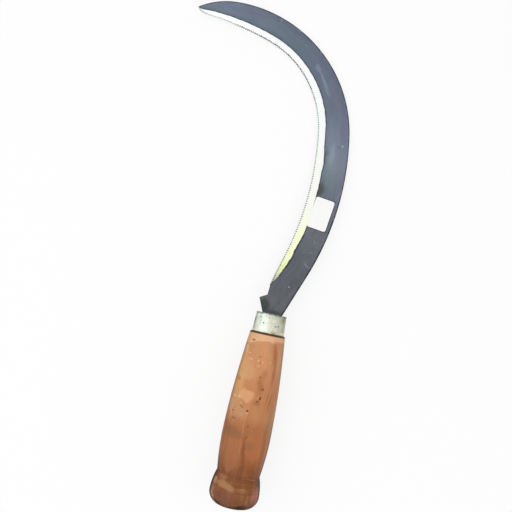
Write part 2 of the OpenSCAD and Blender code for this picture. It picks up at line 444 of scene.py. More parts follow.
def bladeColumns():
    # Each column has its place on the back, its end at the edge, and how deep it is in a tooth's gap, 0 to 1
    toothStops, s = [], blade["bevelS"]
    while s < backLen - blade["toothPitch"]:
        toothStops.append(s)
        s += blade["toothPitch"] / edgeSpeed(s)
    neckLeft = Vector((blade["neckBack"] - blade["neckW"], 0, 0))
    spur = Vector((-blade["spurX"], blade["spurY"], 0))
    corners = (neckLeft, spur, inside(blade["heelS"], blade["heelW"]), gapAt(toothStops[0]))
    stops = (0, *blade["spurStops"], blade["bevelS"])
    columns = [(0, neckLeft, 0)]
    for start, end, low, high, count in zip(stops, stops[1:], corners, corners[1:], blade["spurCuts"]):
        columns += [(s, low.lerp(high, (s - start) / (end - start)), 0) for s in spread(start, end, count)]
    columns.pop()
    tip = inside(backLen, blade["tipW"])
    rake = blade["toothRake"]
    for stop, following in zip(toothStops, toothStops[1:] + [None]):
        pitch = blade["toothPitch"] / edgeSpeed(stop) if following is None else following - stop
        crestAt = stop + rake * pitch
        crest, gap = inside(crestAt, widthAt(crestAt)), gapAt(stop)
        nextGap = tip if following is None else gapAt(following)
        for part in blade["toothParts"]:
            s = stop + part * pitch
            if part < rake:
                columns.append((s, gap.lerp(crest, part / rake), 1 - part / rake))
            else:
                share = (part - rake) / (1 - rake)
                columns.append((s, crest.lerp(nextGap, share), share))
    columns.append((backLen, tip, 0))
    return columns


def rowPlaces(length, zone):
    # Distances from the back of the rows of one column, of which the last zone is the bevel's
    flat = length - zone
    rows = [min(near, flat * near) for near in blade["backRows"]]
    return rows + spread(rows[-1], flat, blade["flatRows"]) + [flat + zone * share for share in blade["bevelRows"]]


def tangEdges(y, fit):
    # Left and right of the tang, and half its thickness, at this y at or below the mouth
    left, right = blade["neckBack"] - blade["neckW"], blade["neckBack"]
    pointTop = blade["tangPoint"] - blade["tangLen"]
    half = blade["tangW"] / 2
    if y >= pointTop:
        share = y / pointTop
        low, high = left + (-half - left) * share - fit, right + (half - right) * share + fit
    else:
        share = (y - pointTop) / (-blade["tangLen"] - fit - pointTop)
        low, high = (-half - fit) * (1 - share), (half + fit) * (1 - share)
    thick = blade["plateT"] + (blade["tangPointT"] - blade["plateT"]) * min(1, y / -blade["tangLen"])
    return low, high, thick / 2 + fit


def buildBlade(material):
    columns = bladeColumns()
    lastColumn = len(columns) - 1
    lastRow = len(blade["backRows"]) + blade["flatRows"] + len(blade["bevelRows"]) - 1
    bm = gridSlab(lastColumn, lastRow, 1)
    run = bm.verts.layers.float_vector.new("bladeRun")  # along the back, from the back, past the bevel's ridge
    edge = bm.verts.layers.float.new("edgeNear")  # distance from the cutting edge
    gap = bm.verts.layers.float.new("toothGap")  # 1 in the gap between two teeth, 0 at a crest
    top, corner = blade["plateT"] / 2, blade["corner"]
    for vert in bm.verts:
        s, end, gapShare = columns[round(vert.co.x * lastColumn)]
        row, under = round(vert.co.y * lastRow), vert.co.z < -0.5
        start = inside(s, 0)
        length = (end - start).length
        ground = groundAt(s)
        ripple = blade["ripple"] * noise.noise(Vector((s / blade["rippleLen"], 3, 0)))
        wander = (strayAt(s) + ripple) * min(1, ground)
        ridge = (widthAt(s) if s > blade["bevelS"] else length) - ground - wander
        zone = min(max(length - ridge, blade["leastBevel"]), length * blade["mostBevel"])
        w = rowPlaces(length, zone)[row]
        place = start.lerp(end, w / length)
        past, toEdge = w - ridge, length - w
        wave = unevenness(place.x / blade["waveLen"], place.y / blade["waveLen"], 5 if under else 0)
        wave *= blade["waveDepth"] * min(1, w / blade["waveFrom"])
        unground = 1 - min(1, ground)
        drop = max(rounded(w, corner), rounded(toEdge, corner) * unground)
        if under:
            groove = blade["grooveDepth"] * gapShare * max(0, 1 - toEdge / blade["grooveReach"]) * (1 - unground)
            z = -top + max(drop, wave) + groove
        else:
            slope = (blade["plateT"] - blade["edgeT"]) / bevelFull(s)
            fall = slope * ground * max(0, past) / max(ground + wander, 0.01)
            z = top - max(drop, fall, wave)
        vert.co = (place.x, place.y, z)
        vert[run] = (s, w, blade["noRidge"] if under else past)
        vert[edge] = toEdge
        vert[gap] = gapShare
    # The tang grows from the end of the neck
    end = [face for face in bm.faces if all(abs(vert.co.y) < 0.0001 for vert in face.verts)]
    left, right, top = tangEdges(0, 0)
    for y in (*blade["tangRows"], blade["tangPoint"] - blade["tangLen"], -blade["tangLen"]):
        end = growEnd(bm, end)
        low, high, thick = tangEdges(y, 0)
        for vert in vertsOf(end):
            across = (vert.co.x - left) / (right - left)
            height = vert.co.z * thick / top if high > low else thick * (1 if vert.co.z > 0 else -1)
            vert.co = (low + (high - low) * across, y, height)
            vert[run] = (y, across * blade["tangRun"], blade["noRidge"])
            vert[edge] = blade["noEdge"]
        left, right, top = low, high if high > low else low + 0.0001, thick
    bmesh.ops.remove_doubles(bm, verts=bm.verts[:], dist=0.0005)
    return finishPiece(bm, "sickleBlade", "blade", material)


label = {
    "length": 26, "width": 16, "paperT": 0.15, "cornerR": 1.8, "alongS": 91, "gap": 0.4,
    "toRidge": 0.35,  # how far the paper was stuck towards the ridge
    "columns": 40, "rows": 28, "lift": 0.22, "looseFrom": 1.35, "ripple": 0.03, "rippleLen": 4, "glue": 0.03,
}


def labelPlace():
    # The middle of the label's lower face and its turn, beside the bevel
    s = label["alongS"]
    middle = inside(s, widthAt(s) - bevelFull(s) - label["gap"] + label["toRidge"] - label["width"] / 2)
    return middle, backAt(s)[3] - pi / 2


def bladeMaterial():
    material, shader, at = newMaterial("oxideSteel")
    run = attribute(at, "bladeRun", "Vector")
    along, fromBack, pastRidge = split(run)
    toEdge, gapShare = attribute(at, "edgeNear"), attribute(at, "toothGap")
    # Scale left by the forge, in zones along the blade, with blotches over them
    base = ramp(along / backLen, {
        0: (92, 94, 97), 0.08: (82, 84, 89), 0.16: (91, 95, 102), 0.22: (99, 100, 107), 0.3: (101, 106, 117),
        0.38: (118, 128, 140), 0.44: (116, 126, 142), 0.52: (103, 111, 126), 0.62: (100, 108, 125),
        0.72: (96, 110, 121), 0.82: (102, 112, 126), 0.92: (106, 117, 132), 1: (105, 112, 123)})
    # Darker and more violet by the back, darker by the ridge
    nearBack = fade(fromBack, 11, 2) * fade(along, 90, 130) * fade(along, 320, 280)
    base = dim(base, nearBack, 0.55, (0.9, 0.8, 0.9))
    nearRidge = fade(pastRidge, -4.5, -0.5) * fade(along, 90, 120)
    base = dim(base, nearRidge, 0.6, (0.78, 0.84, 0.84))
    shaken = ragged(at, 0.12, 3)
    base = dim(base, streaks(shaken, 0.028, 2, 0.52, 0.68), 0.7, (0.95, 0.84, 1))
    base = dim(base, streaks(shaken + (80, 20, 0), 0.033, 2, 0.54, 0.7), 0.7, (0.88, 1, 0.93))
    cloud = streaks(run, 1, 4, 0.35, 0.7, (0.05, 0.22, 0))
    base = cover(base, cloud, 0.12, (132, 142, 156))
    # Scratches along the blade, specks and pits
    fine = streaks(run, 1, 3, 0.62, 0.72, (0.12, 5, 0))
    base = cover(base, fine, 0.2, (138, 146, 158))
    base = cover(base, spots(shaken, 0.45, 0.22, 0.16, 0.6), 0.35, (150, 156, 160))
    pits = spots(at, 0.6, 0.2, 0.14, 0.5)
    base = cover(base, pits, 0.5, (58, 60, 70))
    # Marks seen one by one on the ground side: x and y, half the width and length, then as in paintMarks
    marks = [
        ((-3.6, 207), (2.8, 6), 34, 0.6, 0.45, (134, 144, 162)),
        ((2.2, 198), (2.2, 9.5), 32, 0.6, 0.5, (136, 146, 166)),
        ((7.4, 189.5), (2.2, 8), 26, 0.7, 0.45, (128, 140, 160)),
        ((9.38, 25.34), (0.9, 1.2), 0, 0.6, 0.9, (158, 164, 176)),
        ((4.1, 10.5), (1.2, 1.8), 10, 0.8, 0.4, (52, 54, 60)),
        ((20, 45), (0.5, 4.2), 47, 0.6, 0.6, (142, 148, 154)),
        ((22.7, 64.2), (0.7, 0.9), 0, 0.6, 0.4, (146, 152, 156)),
        ((20.9, 56.3), (1.4, 0.6), 30, 0.7, 0.35, (134, 140, 150)),
        ((-42, 239), (0.7, 2), 0, 0.6, 0.4, (150, 164, 158)),
        ((28.9, 148.4), (1, 0.8), 40, 0.6, 0.8, (176, 190, 205)),
        ((21.4, 139), (3.2, 15), 4, 0.9, 0.4, (148, 164, 170)),
        ((26.6, 160), (4.6, 13), 8, 0.8, 0.6, (110, 104, 136)),
        ((34.4, 106), (3.4, 9), -14, 0.9, 0.45, (126, 124, 152)),
        ((26.5, 146.5), (2.6, 1.2), 0, 0.7, 0.4, (80, 84, 110)),
        ((-5.2, 221.4), (1.1, 2.8), 35, 0.6, 0.4, (166, 174, 172)),
        ((-25, 234), (3.6, 1.1), -28, 0.6, 0.5, (146, 158, 160)),
        ((-8, 6), (6.5, 7.5), 20, 0.6, 0.85, (58, 64, 58)),
        ((17, 107.5), (5.4, 11), -12, 0.8, 0.95, (74, 80, 74)),
        ((15.6, 134), (3, 15), -3, 0.7, 0.85, (78, 106, 106)),
        # Darker where the neck goes in to the ferrule: painted shade
        ((1, 2), (7.5, 2.4), 0, 0.8, 0.5, (62, 66, 68)),
    ]
    marks = [((*place, blade["plateT"] / 2), (*size, 9), *rest) for place, size, *rest in marks]
    height = split(at)[2]
    upperFace = fade(height, -0.6, 0.2)
    base = mixColour(upperFace, base, paintMarks(shaken, base, marks))
    # The flat side has brown stains, and bright cuts of the file behind the teeth
    lowerFace = fade(height, -0.5, -0.85)
    base = cover(base, streaks(shaken, 0.06, 5, 0.5, 0.66) * lowerFace, 0.4, (102, 92, 80))
    cuts = fade(toEdge, 6, 3.5) * fade(gapShare, 0.1, 0.7)
    base = cover(base, cuts * lowerFace, 0.6, (158, 162, 162))
    # The bright bevel, straw and olive towards the heel
    bevel = fade(pastRidge, -0.12, 0.12)
    lines = streaks(run, 1, 3, 0.3, 0.7, (3.2, 0.12, 0))
    bright = cover(colour(205, 208, 206), lines, 0.3, (193, 197, 196))
    # Paler towards the tip: a painted reflection
    bright = cover(bright, fade(along, 235, 325), 0.5, (222, 229, 230))
    bright = dim(bright, fade(along, 190, 100), 0.65, (1, 0.99, 0.92))
    bright = cover(bright, fade(along, 100, 66), fade(pastRidge, 5.2, 2.6, 0.35, 1), (207, 213, 178))
    bright = cover(bright, fade(along, 48, 30) * fade(lines, 0.9, 0.2, 0.5, 1), 0.8, (186, 192, 140))
    bright = paintMarks(shaken, bright, [
        ((3.7, 50.9, 1), (2.6, 3.6, 9), -25, 0.7, 0.6, (190, 202, 124)),
        ((0.4, 39.6, 1), (2.4, 3.4, 9), -25, 0.7, 0.6, (188, 200, 124)),
        ((8, 68, 1), (3, 6, 9), -25, 0.8, 0.3, (200, 210, 150)),
    ])
    dull = cover(colour(176, 172, 180), gapShare, 1, (108, 106, 116))
    bright = mixColour(fade(along, 32, 20) * 0.85, bright, dull)
    base = mixColour(bevel, base, bright)
    # A dark rim painted round the label: painted shadow along the paper's edge
    place, turn = labelPlace()
    onLabel = wire("Mapping", {"Vector": at, "Location": place, "Rotation": (0, 0, turn)}, vector_type="TEXTURE")
    past = split(calc("ABSOLUTE", onLabel) - (label["width"] / 2, label["length"] / 2, 9))
    # glue is the mask of the painted shadow round the label
    glue = rubbed(at, calc("MAXIMUM", past[0], past[1]), 1.4, 0.3, 0.5)
    base = cover(base, glue, upperFace * calc("MAXIMUM", 0.6 - bevel, 0), (58, 58, 68))
    # Dark rims: the back, the ridge and the teeth; the teeth's rim is their dark faces and painted shadow, darkest in
    # the gaps between them
    flatRun = run * (1, 1, 0)
    backRim = rubbed(flatRun, fromBack, fade(along, 60, 150, 1.9, 1.4), 0.25, 0.4)
    base = cover(base, backRim, 0.9, (30, 32, 40))
    toRidge = calc("ABSOLUTE", pastRidge + 0.45)
    ridgeRim = rubbed(flatRun, toRidge, fade(along, 50, 100, 1.35, 0.9), 0.3, 0.5)
    base = cover(base, ridgeRim, fade(along, 75, 120, 0.9, 0.7) * fade(along, 20, 36, 0.3, 1), (46, 49, 58))
    edgeRim = rubbed(flatRun, toEdge, fade(along, 100, 140, 1.7, 1.35), 0.4, 0.3)
    # Painted shadow, strongest in the gaps between the teeth
    gapShadow = fade(gapShare, 0.25, 0.8) * 0.92 + 0.06
    darkness = mixValue(fade(along, 180, 225), gapShadow, 0.97) * fade(along, 305, 328, 1, 0.5)
    base = cover(base, edgeRim, darkness, (50, 52, 46))
    shine = mixValue(bevel, fade(cloud, 0, 1, 0.5, 0.4), 0.3)
    scale = streaks(at, 0.8, 6, 0.25, 0.75)
    relief = mixValue(bevel, scale * 0.5 + fine * 0.3 - pits, lines * 0.35)
    plug(shader, {
        "Base Color": base, "Metallic": mixValue(bevel, 0.85, 1), "Roughness": shine, "Normal": bump(relief, 0.05)})
    return material


# Handle
handle = {
    "length": 158.5, "ferruleL": 16, "ferruleFit": 0.05, "shoulderD": 28.8, "shoulderR": 1.2,
    "gripY": 101, "gripD": 39.6, "grooveUp": 28, "grooveD": 35, "knobUp": 11.5, "knobD": 40.6,
    "endD": 16, "crownH": 0.6, "swellPower": 1.9, "flarePower": 2, "endSink": 0.8, "endEdge": 0.4,
    "mouthD": 25, "baseD": 26.4, "wall": 1,
    "steps": 192, "spigotRings": 4, "gripRings": 96, "knobRings": 16, "endRings": 16, "crownRings": 5,
    # Flats that a drawknife left: angle round the handle, distance below the mouth, half its length, depth, tone
    "flats": (
        (120, 117, 19, 0.75, 0.3), (66, 112, 30, 0.5, 0.2), (93, 47, 26, 0.3, 0.15), (128, 58, 22, 0.45, 0.15),
        (150, 92, 26, 0.5, -0.25), (40, 70, 30, 0.4, -0.1), (20, 112, 26, 0.45, -0.3), (-10, 60, 34, 0.4, 0.2),
        (-38, 105, 30, 0.5, -0.2), (-70, 55, 32, 0.4, 0.25), (-98, 110, 28, 0.5, 0.1), (-125, 62, 30, 0.45, -0.25),
        (-152, 108, 30, 0.45, 0.2), (178, 50, 26, 0.4, -0.15), (-60, 128, 16, 0.3, 0.3),
    ),
    "flatReach": 0.9,  # no flat is wider to either side, in radians
    "smoothing": 0.12, "smoothBack": 0.12,  # how softly a flat runs out, and the share of this that it gives back
    "toneDepth": 0.08,  # a flat has its whole tone from this depth
    "plainTop": 0.3, "plainEnd": 1,  # not carved: this far below the ferrule, and inside the end's rim
    "dents": 26, "dentSeed": 7, "dentSpan": (22, 154), "dentR": (1.2, 3), "dentDepth": (0.08, 0.28),
    "waveDepth": 0.07, "waveLen": 7, "grainLen": 30, "carvedFrom": 4,  # carving sets in over this length
}
woodY = handle["ferruleL"] + handle["ferruleFit"]
gripTop = woodY + handle["shoulderR"]
grooveY = handle["length"] - handle["grooveUp"]
knobY = handle["length"] - handle["knobUp"]
knobEnd = handle["length"] - handle["crownH"]


def gripR(y):
    above = y < handle["gripY"]
    span = handle["gripY"] - woodY if above else grooveY - handle["gripY"]
    drop = (handle["gripD"] - (handle["shoulderD"] if above else handle["grooveD"])) / 2
    return handle["gripD"] / 2 - drop * (abs(y - handle["gripY"]) / span) ** handle["swellPower"]


def knobR(y):
    if y < knobY:
        flare = ((knobY - y) / (knobY - grooveY)) ** handle["flarePower"]
        return handle["knobD"] / 2 - (handle["knobD"] - handle["grooveD"]) / 2 * flare
    share = (y - knobY) / (knobEnd - knobY)
    return handle["endD"] / 2 + (handle["knobD"] - handle["endD"]) / 2 * sqrt(max(0, 1 - share * share))


def handleProfile():
    spigot = handle["mouthD"] / 2 - handle["wall"] - handle["ferruleFit"]
    root = handle["baseD"] / 2 - handle["wall"] - handle["ferruleFit"]
    sink, edge, shoulder = handle["endSink"], handle["endEdge"], handle["shoulderR"]
    sunk = spigot + (root - spigot) * sink / handle["ferruleL"]
    chain = [(0, sink), (sunk * 0.5, sink), (sunk - edge, sink), (sunk, sink + edge)]
    rings = handle["spigotRings"]
    chain += zip(spread(sunk, root, rings), spread(sink + edge, woodY, rings))
    for angle in range(0, 91, 15):
        turn = radians(angle)
        chain.append((gripR(gripTop) - shoulder * (1 - sin(turn)), woodY + shoulder * (1 - cos(turn))))
    chain += [(gripR(y), y) for y in spread(gripTop, grooveY, handle["gripRings"])]
    chain += [(knobR(y), y) for y in spread(grooveY, knobY, handle["knobRings"])]
    ends = [knobY + (knobEnd - knobY) * sin(quarter) for quarter in spread(0, pi / 2, handle["endRings"])]
    chain += [(knobR(y), y) for y in ends]
    rings = handle["crownRings"]
    return chain + list(zip(spread(handle["endD"] / 2, 0, rings), spread(knobEnd, handle["length"], rings)))


def carveHandle(bm):
    rng = random.Random(handle["dentSeed"])
    dents = []
    for _ in range(handle["dents"]):
        below, angle = rng.uniform(*handle["dentSpan"]), rng.uniform(-pi, pi)
        radius = gripR(below) if below < grooveY else knobR(below)
        at = Vector((radius * cos(angle), -below, radius * sin(angle)))
        dents.append((at, rng.uniform(*handle["dentR"]), rng.uniform(*handle["dentDepth"])))
    toneLayer = bm.verts.layers.float.new("flatTone")
    for vert in bm.verts:
        below, radius = -vert.co.y, hypot(vert.co.x, vert.co.z)
        if below <= woodY + handle["plainTop"] or radius < handle["endD"] / 2 - handle["plainEnd"]:
            continue
        angle = atan2(vert.co.z, vert.co.x)
        depth = 0
        for flatAngle, middle, half, deepest, tone in handle["flats"]:
            turn = (angle - radians(flatAngle) + pi) % (2 * pi) - pi
            cut = deepest * (1 - ((below - middle) / half) ** 2)
            if abs(turn) > handle["flatReach"] or cut < -1:
                continue  # too far off to cut here
            over = radius - (radius - cut) / cos(turn)
            if over > -0.5:
                soft = handle["smoothing"]
                cut = (over + sqrt(over * over + soft * soft)) / 2 - soft * handle["smoothBack"]
                if over > 0 and cut >= depth:
                    vert[toneLayer] = tone * min(1, over / handle["toneDepth"])
                depth = max(depth, cut)
        depth += dentDepth(dents, vert.co)
        wave = unevenness(vert.co.x / handle["waveLen"], vert.co.y / handle["grainLen"], vert.co.z / handle["waveLen"])
        depth += handle["waveDepth"] * wave
        scale = 1 - max(0, depth) * min(1, (below - woodY) / handle["carvedFrom"]) / radius
        vert.co.x *= scale
        vert.co.z *= scale


def cutSlot(piece):
    # The slot that the tang was burnt in to
    bm = bmesh.new()
    bmesh.ops.create_cube(bm, size=1)
    fit = blade["tangFit"]
    low, high, thick = tangEdges(0, fit)
    for vert in bm.verts:
        vert.co = (low if vert.co.x < 0 else high, 0 if vert.co.y < 0 else 2, thick if vert.co.z > 0 else -thick)
    end = [face for face in bm.faces if all(vert.co.y < 1 for vert in face.verts)]
    for y in (blade["tangPoint"] - blade["tangLen"], -blade["tangLen"] - fit):
        end = growEnd(bm, end)
        low, high, thick = tangEdges(y, fit)
        middle = (low + high) / 2
        for vert in vertsOf(end):
            vert.co = (low if vert.co.x < middle else high, y, thick if vert.co.z > 0 else -thick)
    bmesh.ops.remove_doubles(bm, verts=bm.verts[:], dist=0.0005)
    bmesh.ops.recalc_face_normals(bm, faces=bm.faces[:])
    bm.transform(toolPlace)
    cutter = addObject("slotCutter", asMesh(bm, "slotCutter"))
    cut = piece.modifiers.new("slot", "BOOLEAN")
    cut.object, cut.operation, cut.solver = cutter, "DIFFERENCE", "EXACT"
    done = bpy.data.meshes.new_from_object(piece.evaluated_get(bpy.context.evaluated_depsgraph_get()))
    piece.modifiers.clear()
    piece.data = done
    bpy.data.objects.remove(cutter)


def buildHandle(material):
    bm = spinProfile(handleProfile(), handle["steps"], False)
    carveHandle(bm)
    piece = finishPiece(bm, "handleWood", "handle", material, 40)
    cutSlot(piece)
    return piece


def handleMaterial():
    material, shader, at = newMaterial("oiledBeech")
    x, y, z = split(at)
    below = y * -1
    # The wood's tone along the handle, with painted shade that darkens it towards the knob
    base = ramp(below / handle["length"], {
        0.12: (208, 148, 104), 0.3: (206, 143, 98), 0.4: (196, 131, 85), 0.52: (194, 132, 87), 0.58: (172, 108, 64),
        0.7: (168, 103, 60), 0.79: (134, 76, 34), 0.83: (132, 75, 36), 0.88: (142, 86, 46), 1: (118, 68, 38)})
    # Grain along the handle, paler bands and pores
    grain = streaks(at, 0.55, 5, 0.36, 0.66, (1, 0.035, 1), 0.4)
    base = dim(base, grain, 0.22, (0.84, 0.7, 0.6))
    pale = streaks(at + (40, 0, 9), 0.16, 3, 0.45, 0.7, (1, 0.06, 1))
    base = cover(base, pale, 0.2, (214, 160, 112))
    pores = streaks(at, 2.4, 2, 0.64, 0.74, (1, 0.08, 1))
    base = dim(base, pores, 0.4, (0.5, 0.36, 0.28))
    # Growth rings round a pith off the axis, and radial cracks: plain to see on the knob's end alone
    fromAxis = calc("LENGTH", at * (1, 0, 1))
    endFace = fade(fromAxis, 16.5, 11) * fade(below, 140, 150)
    fromPith = calc("LENGTH", (ragged(at, 0.06, 1.5) + (-5, 0, 8)) * (1, 0.02, 1))
    growth = streaks(fromPith, 0.8, 2, 0.4, 0.6, (1, 0, 0))
    base = dim(base, growth, fade(endFace, 0, 1, 0.08, 0.75), (0.62, 0.5, 0.4))
    radial = streaks(calc("ARCTAN2", x, z), 2.4, 3, 0.64, 0.7, (1, 0, 0))
    cracks = radial * endFace * fade(fromAxis, 1, 4)
    base = cover(base, cracks, 0.8, (52, 28, 12))
    drifted = ragged(ragged(at, 0.09, 3.6), 0.5, 0.9)
    base = paintMarks(drifted, base, [
        # Paler down the grip's left side: painted light
        ((-15, -50, 9), (6.5, 44, 14), 3, 0.9, 0.8, (218, 168, 112)),
        ((-9.4, -48, 14), (5.6, 8.5, 9), 0, 0.45, 0.6, (210, 160, 114)),
        ((-7.5, -67, 15), (8, 6, 9), -10, 0.4, 0.7, (224, 170, 122)),
        ((-15, -61.5, 9), (3, 5, 7), 0, 0.9, 0.6, (208, 162, 84)),
        ((-9.5, -80, 15), (7, 8.5, 9), 15, 0.7, 0.6, (196, 150, 108)),
        ((1.5, -41, 17), (5, 6, 8), 0, 0.8, 0.4, (212, 146, 108)),
        ((0.9, -57.5, 18), (5, 11, 9), 5, 0.9, 0.7, (156, 98, 58)),
        ((2.4, -71.5, 18), (3.4, 4, 9), 0, 0.8, 0.6, (156, 94, 54)),
        ((-11, -98, 12), (11, 6.5, 14), -8, 0.5, 0.75, (144, 97, 60)),
        ((-10.2, -115.5, 16), (6.2, 14.5, 12), 3, 0.25, 0.6, (158, 102, 68)),
        ((-17, -121, 6), (2.6, 12, 8), 0, 0.8, 0.5, (128, 88, 52)),
        ((-0.6, -126.5, 18), (3.8, 7, 9), -14, 0.6, 0.85, (126, 72, 36)),
        ((8, -104, 18), (6.5, 18, 9), -2, 0.4, 0.4, (180, 112, 68)),
        ((9.4, -127, 15), (4.2, 4.5, 9), 0, 0.7, 0.5, (122, 76, 40)),
        # A pale band over the knob's flare, palest at its left: painted light
        ((-9.5, -139.6, 16), (10.5, 3.6, 14), -10, 0.55, 0.7, (194, 144, 104)),
        ((-18, -138.4, 7.5), (3, 4.6, 8), -10, 0.8, 0.85, (200, 170, 112)),
        ((3.5, -140.4, 19), (6, 2.4, 9), -6, 0.6, 0.45, (182, 128, 90)),
        ((15.2, -143.5, 12.8), (4.4, 7.5, 8), 8, 0.8, 0.75, (182, 122, 102)),
        ((-10, -148.5, 16), (11, 6.4, 12), -8, 0.6, 0.75, (120, 70, 54)),
        ((3, -150, 17), (7, 5, 12), 0, 0.8, 0.6, (112, 66, 38)),
        # Dark down the knob's right rim: painted shade
        ((16.3, -134.2, 8.2), (3, 4.8, 7), 12, 0.6, 0.9, (74, 64, 44)),
        ((-18.6, -146.5, 6), (2.2, 5.5, 8), 0, 0.7, 0.6, (186, 152, 118)),
        ((2, -48, 18), (4.5, 8, 9), 8, 0.9, 0.4, (166, 104, 66)),
        # Pale on the grip's left side: painted light
        ((-14.6, -32.5, 6.4), (2.6, 5.5, 5), 0, 0.8, 0.7, (232, 190, 150)),
        ((-16.2, -56, 8), (3.2, 3.8, 6), 0, 0.8, 0.7, (166, 116, 72)),
        # Pale on the grip's left side: painted light
        ((-16.8, -77, 9), (3.4, 15, 6), 0, 0.8, 0.6, (212, 174, 130)),
        ((3.2, -106, 19), (6, 6, 8), 0, 0.9, 0.7, (150, 94, 58)),
    ])
    # Darker and paler bands along the grain, with painted reflected light in pale olive bands by the right rim
    shaken = ragged(at, 0.25, 1.6)
    base = paintMarks(shaken, base, [
        ((8.4, -32, 14), (3.2, 18, 9), 9, 0.9, 0.85, (176, 102, 66)),
        ((10.3, -49, 14), (2.3, 15, 9), 0, 0.85, 0.8, (178, 104, 72)),
        ((11.6, -70, 14), (0.6, 12, 8), -2, 0.7, 0.7, (132, 66, 34)),
        ((9.2, -66, 15), (0.5, 9, 8), -2, 0.7, 0.45, (140, 74, 40)),
        # Pale olive by the right rim: painted reflected light
        ((12.6, -36, 10.5), (2.6, 17, 8), 6, 0.7, 0.85, (196, 156, 116)),
        ((16, -85, 11.5), (2.6, 26, 8), -2, 0.8, 0.6, (174, 138, 104)),
        ((-0.8, -113, 18), (2.5, 18, 9), 11, 0.7, 0.75, (132, 74, 36)),
        ((-3.4, -88, 18), (0.8, 12, 9), -3, 0.8, 0.4, (150, 88, 48)),
        ((13, -141, 13), (0.9, 8, 9), 0, 0.6, 0.6, (176, 102, 84)),
        ((15.6, -143, 10), (0.9, 7, 9), 0, 0.6, 0.6, (170, 96, 82)),
    ])
    # Turned lines round the knob
    rings = streaks(at, 1, 3, 0.42, 0.6, (0.03, 1.1, 0.03))
    base = dim(base, rings * fade(below, 128, 133) * fade(below, 150, 140), 0.55, (0.66, 0.56, 0.46))
    # Paler and darker flats of the drawknife
    tone = attribute(at, "flatTone")
    base = dim(base, calc("MAXIMUM", tone, 0), 1, (1.25, 1.2, 1.12))
    base = dim(base, calc("MAXIMUM", tone * -1, 0), 1, (0.7, 0.62, 0.52))
    # A pale rim under the ferrule
    away = split(drifted)
    base = cover(base, fade(away[0] * 0.16 - away[1], 23.8, 21.6), 0.8, (236, 188, 146))
    # Flecks and nicks in the wood, seen one by one in the photo
    deepBrown = (98, 40, 14)
    flecks = [
        ((-10.4, -23, 11.2), (1.7, 1, 4), -20, 0.7, 0.8, (122, 62, 22)),
        ((-9, -19.6, 11), (4.6, 1.5, 6), -8, 0.8, 0.5, (214, 168, 100)),
        ((-2.96, -34.9, 16.2), (0.9, 0.8, 4), 0, 0.6, 0.8, deepBrown),
        ((-2.1, -40, 16.8), (1.1, 0.9, 4), 20, 0.6, 0.7, deepBrown),
        ((0.3, -51, 17.8), (0.8, 1, 4), 0, 0.6, 0.7, deepBrown),
        ((3.7, -59.8, 18), (1.5, 1.2, 4), 35, 0.6, 0.85, (120, 58, 30)),
        ((3.3, -66.8, 18.5), (1.1, 2.2, 4), -25, 0.5, 0.95, (104, 46, 14)),
        ((1.5, -70.2, 18.9), (0.9, 1.5, 4), -20, 0.6, 0.8, (116, 58, 30)),
        ((-9.5, -76.3, 16.8), (3, 0.7, 4), -14, 0.6, 0.7, deepBrown),
        ((-4.8, -78.6, 18.6), (0.8, 1.9, 4), -18, 0.5, 0.85, deepBrown),
        ((-15.7, -81, 11.5), (1.3, 0.9, 4), 20, 0.6, 0.7, deepBrown),
        ((-14, -86.4, 13.8), (2.4, 1.2, 4), 0, 0.7, 0.6, (112, 76, 40)),
        ((-1.7, -90.3, 19.6), (0.9, 1.2, 4), 0, 0.7, 0.6, deepBrown),
        ((-1.4, -99.3, 19.7), (0.9, 2, 4), 0, 0.7, 0.55, deepBrown),
        ((-0.5, -108.5, 19.6), (0.7, 1.4, 4), 0, 0.7, 0.35, deepBrown),
        ((2.4, -134.2, 18.4), (1, 0.9, 4), 0, 0.6, 0.7, (120, 64, 42)),
    ]
    base = paintMarks(shaken, base, flecks)
    # Pale specks and lines over the grip and knob: painted highlights
    base = paintMarks(shaken, base, [
        ((-11.4, -33.6, 11.6), (1.2, 0.7, 4), 0, 0.6, 0.8, (240, 196, 146)),
        ((-10.4, -38.2, 13.1), (2.6, 0.8, 4), -10, 0.6, 0.6, (232, 186, 138)),
        ((-4.2, -38.7, 16.3), (1.2, 1, 4), 0, 0.6, 0.7, (236, 176, 136)),
        ((-0.6, -39.3, 16.9), (1.6, 1.2, 4), 20, 0.6, 0.7, (236, 178, 138)),
        ((-3.6, -42.6, 16.8), (1.8, 1.3, 4), 0, 0.6, 0.6, (230, 164, 130)),
        ((6.2, -38.3, 15.6), (0.8, 0.8, 4), 0, 0.5, 0.7, (240, 180, 146)),
        ((-15.9, -69.1, 10.3), (0.9, 0.9, 4), 0, 0.6, 0.8, (244, 202, 150)),
        ((-12.9, -69.3, 13.9), (1, 0.8, 4), 0, 0.6, 0.8, (246, 204, 152)),
        ((-4.9, -80.6, 18.7), (0.7, 0.7, 4), 0, 0.5, 0.8, (246, 214, 170)),
        ((-10.5, -73, 15.8), (1.8, 0.9, 4), 0, 0.6, 0.6, (234, 182, 134)),
        ((-14.1, -28.7, 7.1), (0.7, 1.8, 4), 0, 0.6, 0.7, (250, 220, 176)),
        ((-12.6, -133, 13.5), (6.5, 3.2, 8), -8, 0.8, 0.6, (176, 120, 86)),
        ((8.6, -131.6, 15.5), (8, 0.6, 8), 0, 0.6, 0.45, (186, 130, 94)),
        ((-17, -149.8, 10.2), (1.6, 1.4, 4), 0, 0.6, 0.6, (196, 158, 120)),
    ])
    # Blotches of oil and small nicks on the ground side, which the photo doesn't show
    hidden = fade(z, 3, -2)
    oily = streaks(shaken + (7, 60, 0), 0.12, 4, 0.45, 0.62, (1, 0.3, 1))
    base = cover(base, oily * hidden, 0.5, (128, 76, 44))
    nicks = hidden * spots(shaken, 0.2, 0.14, 0.25, 0.5)
    base = cover(base, nicks, 0.7, deepBrown)
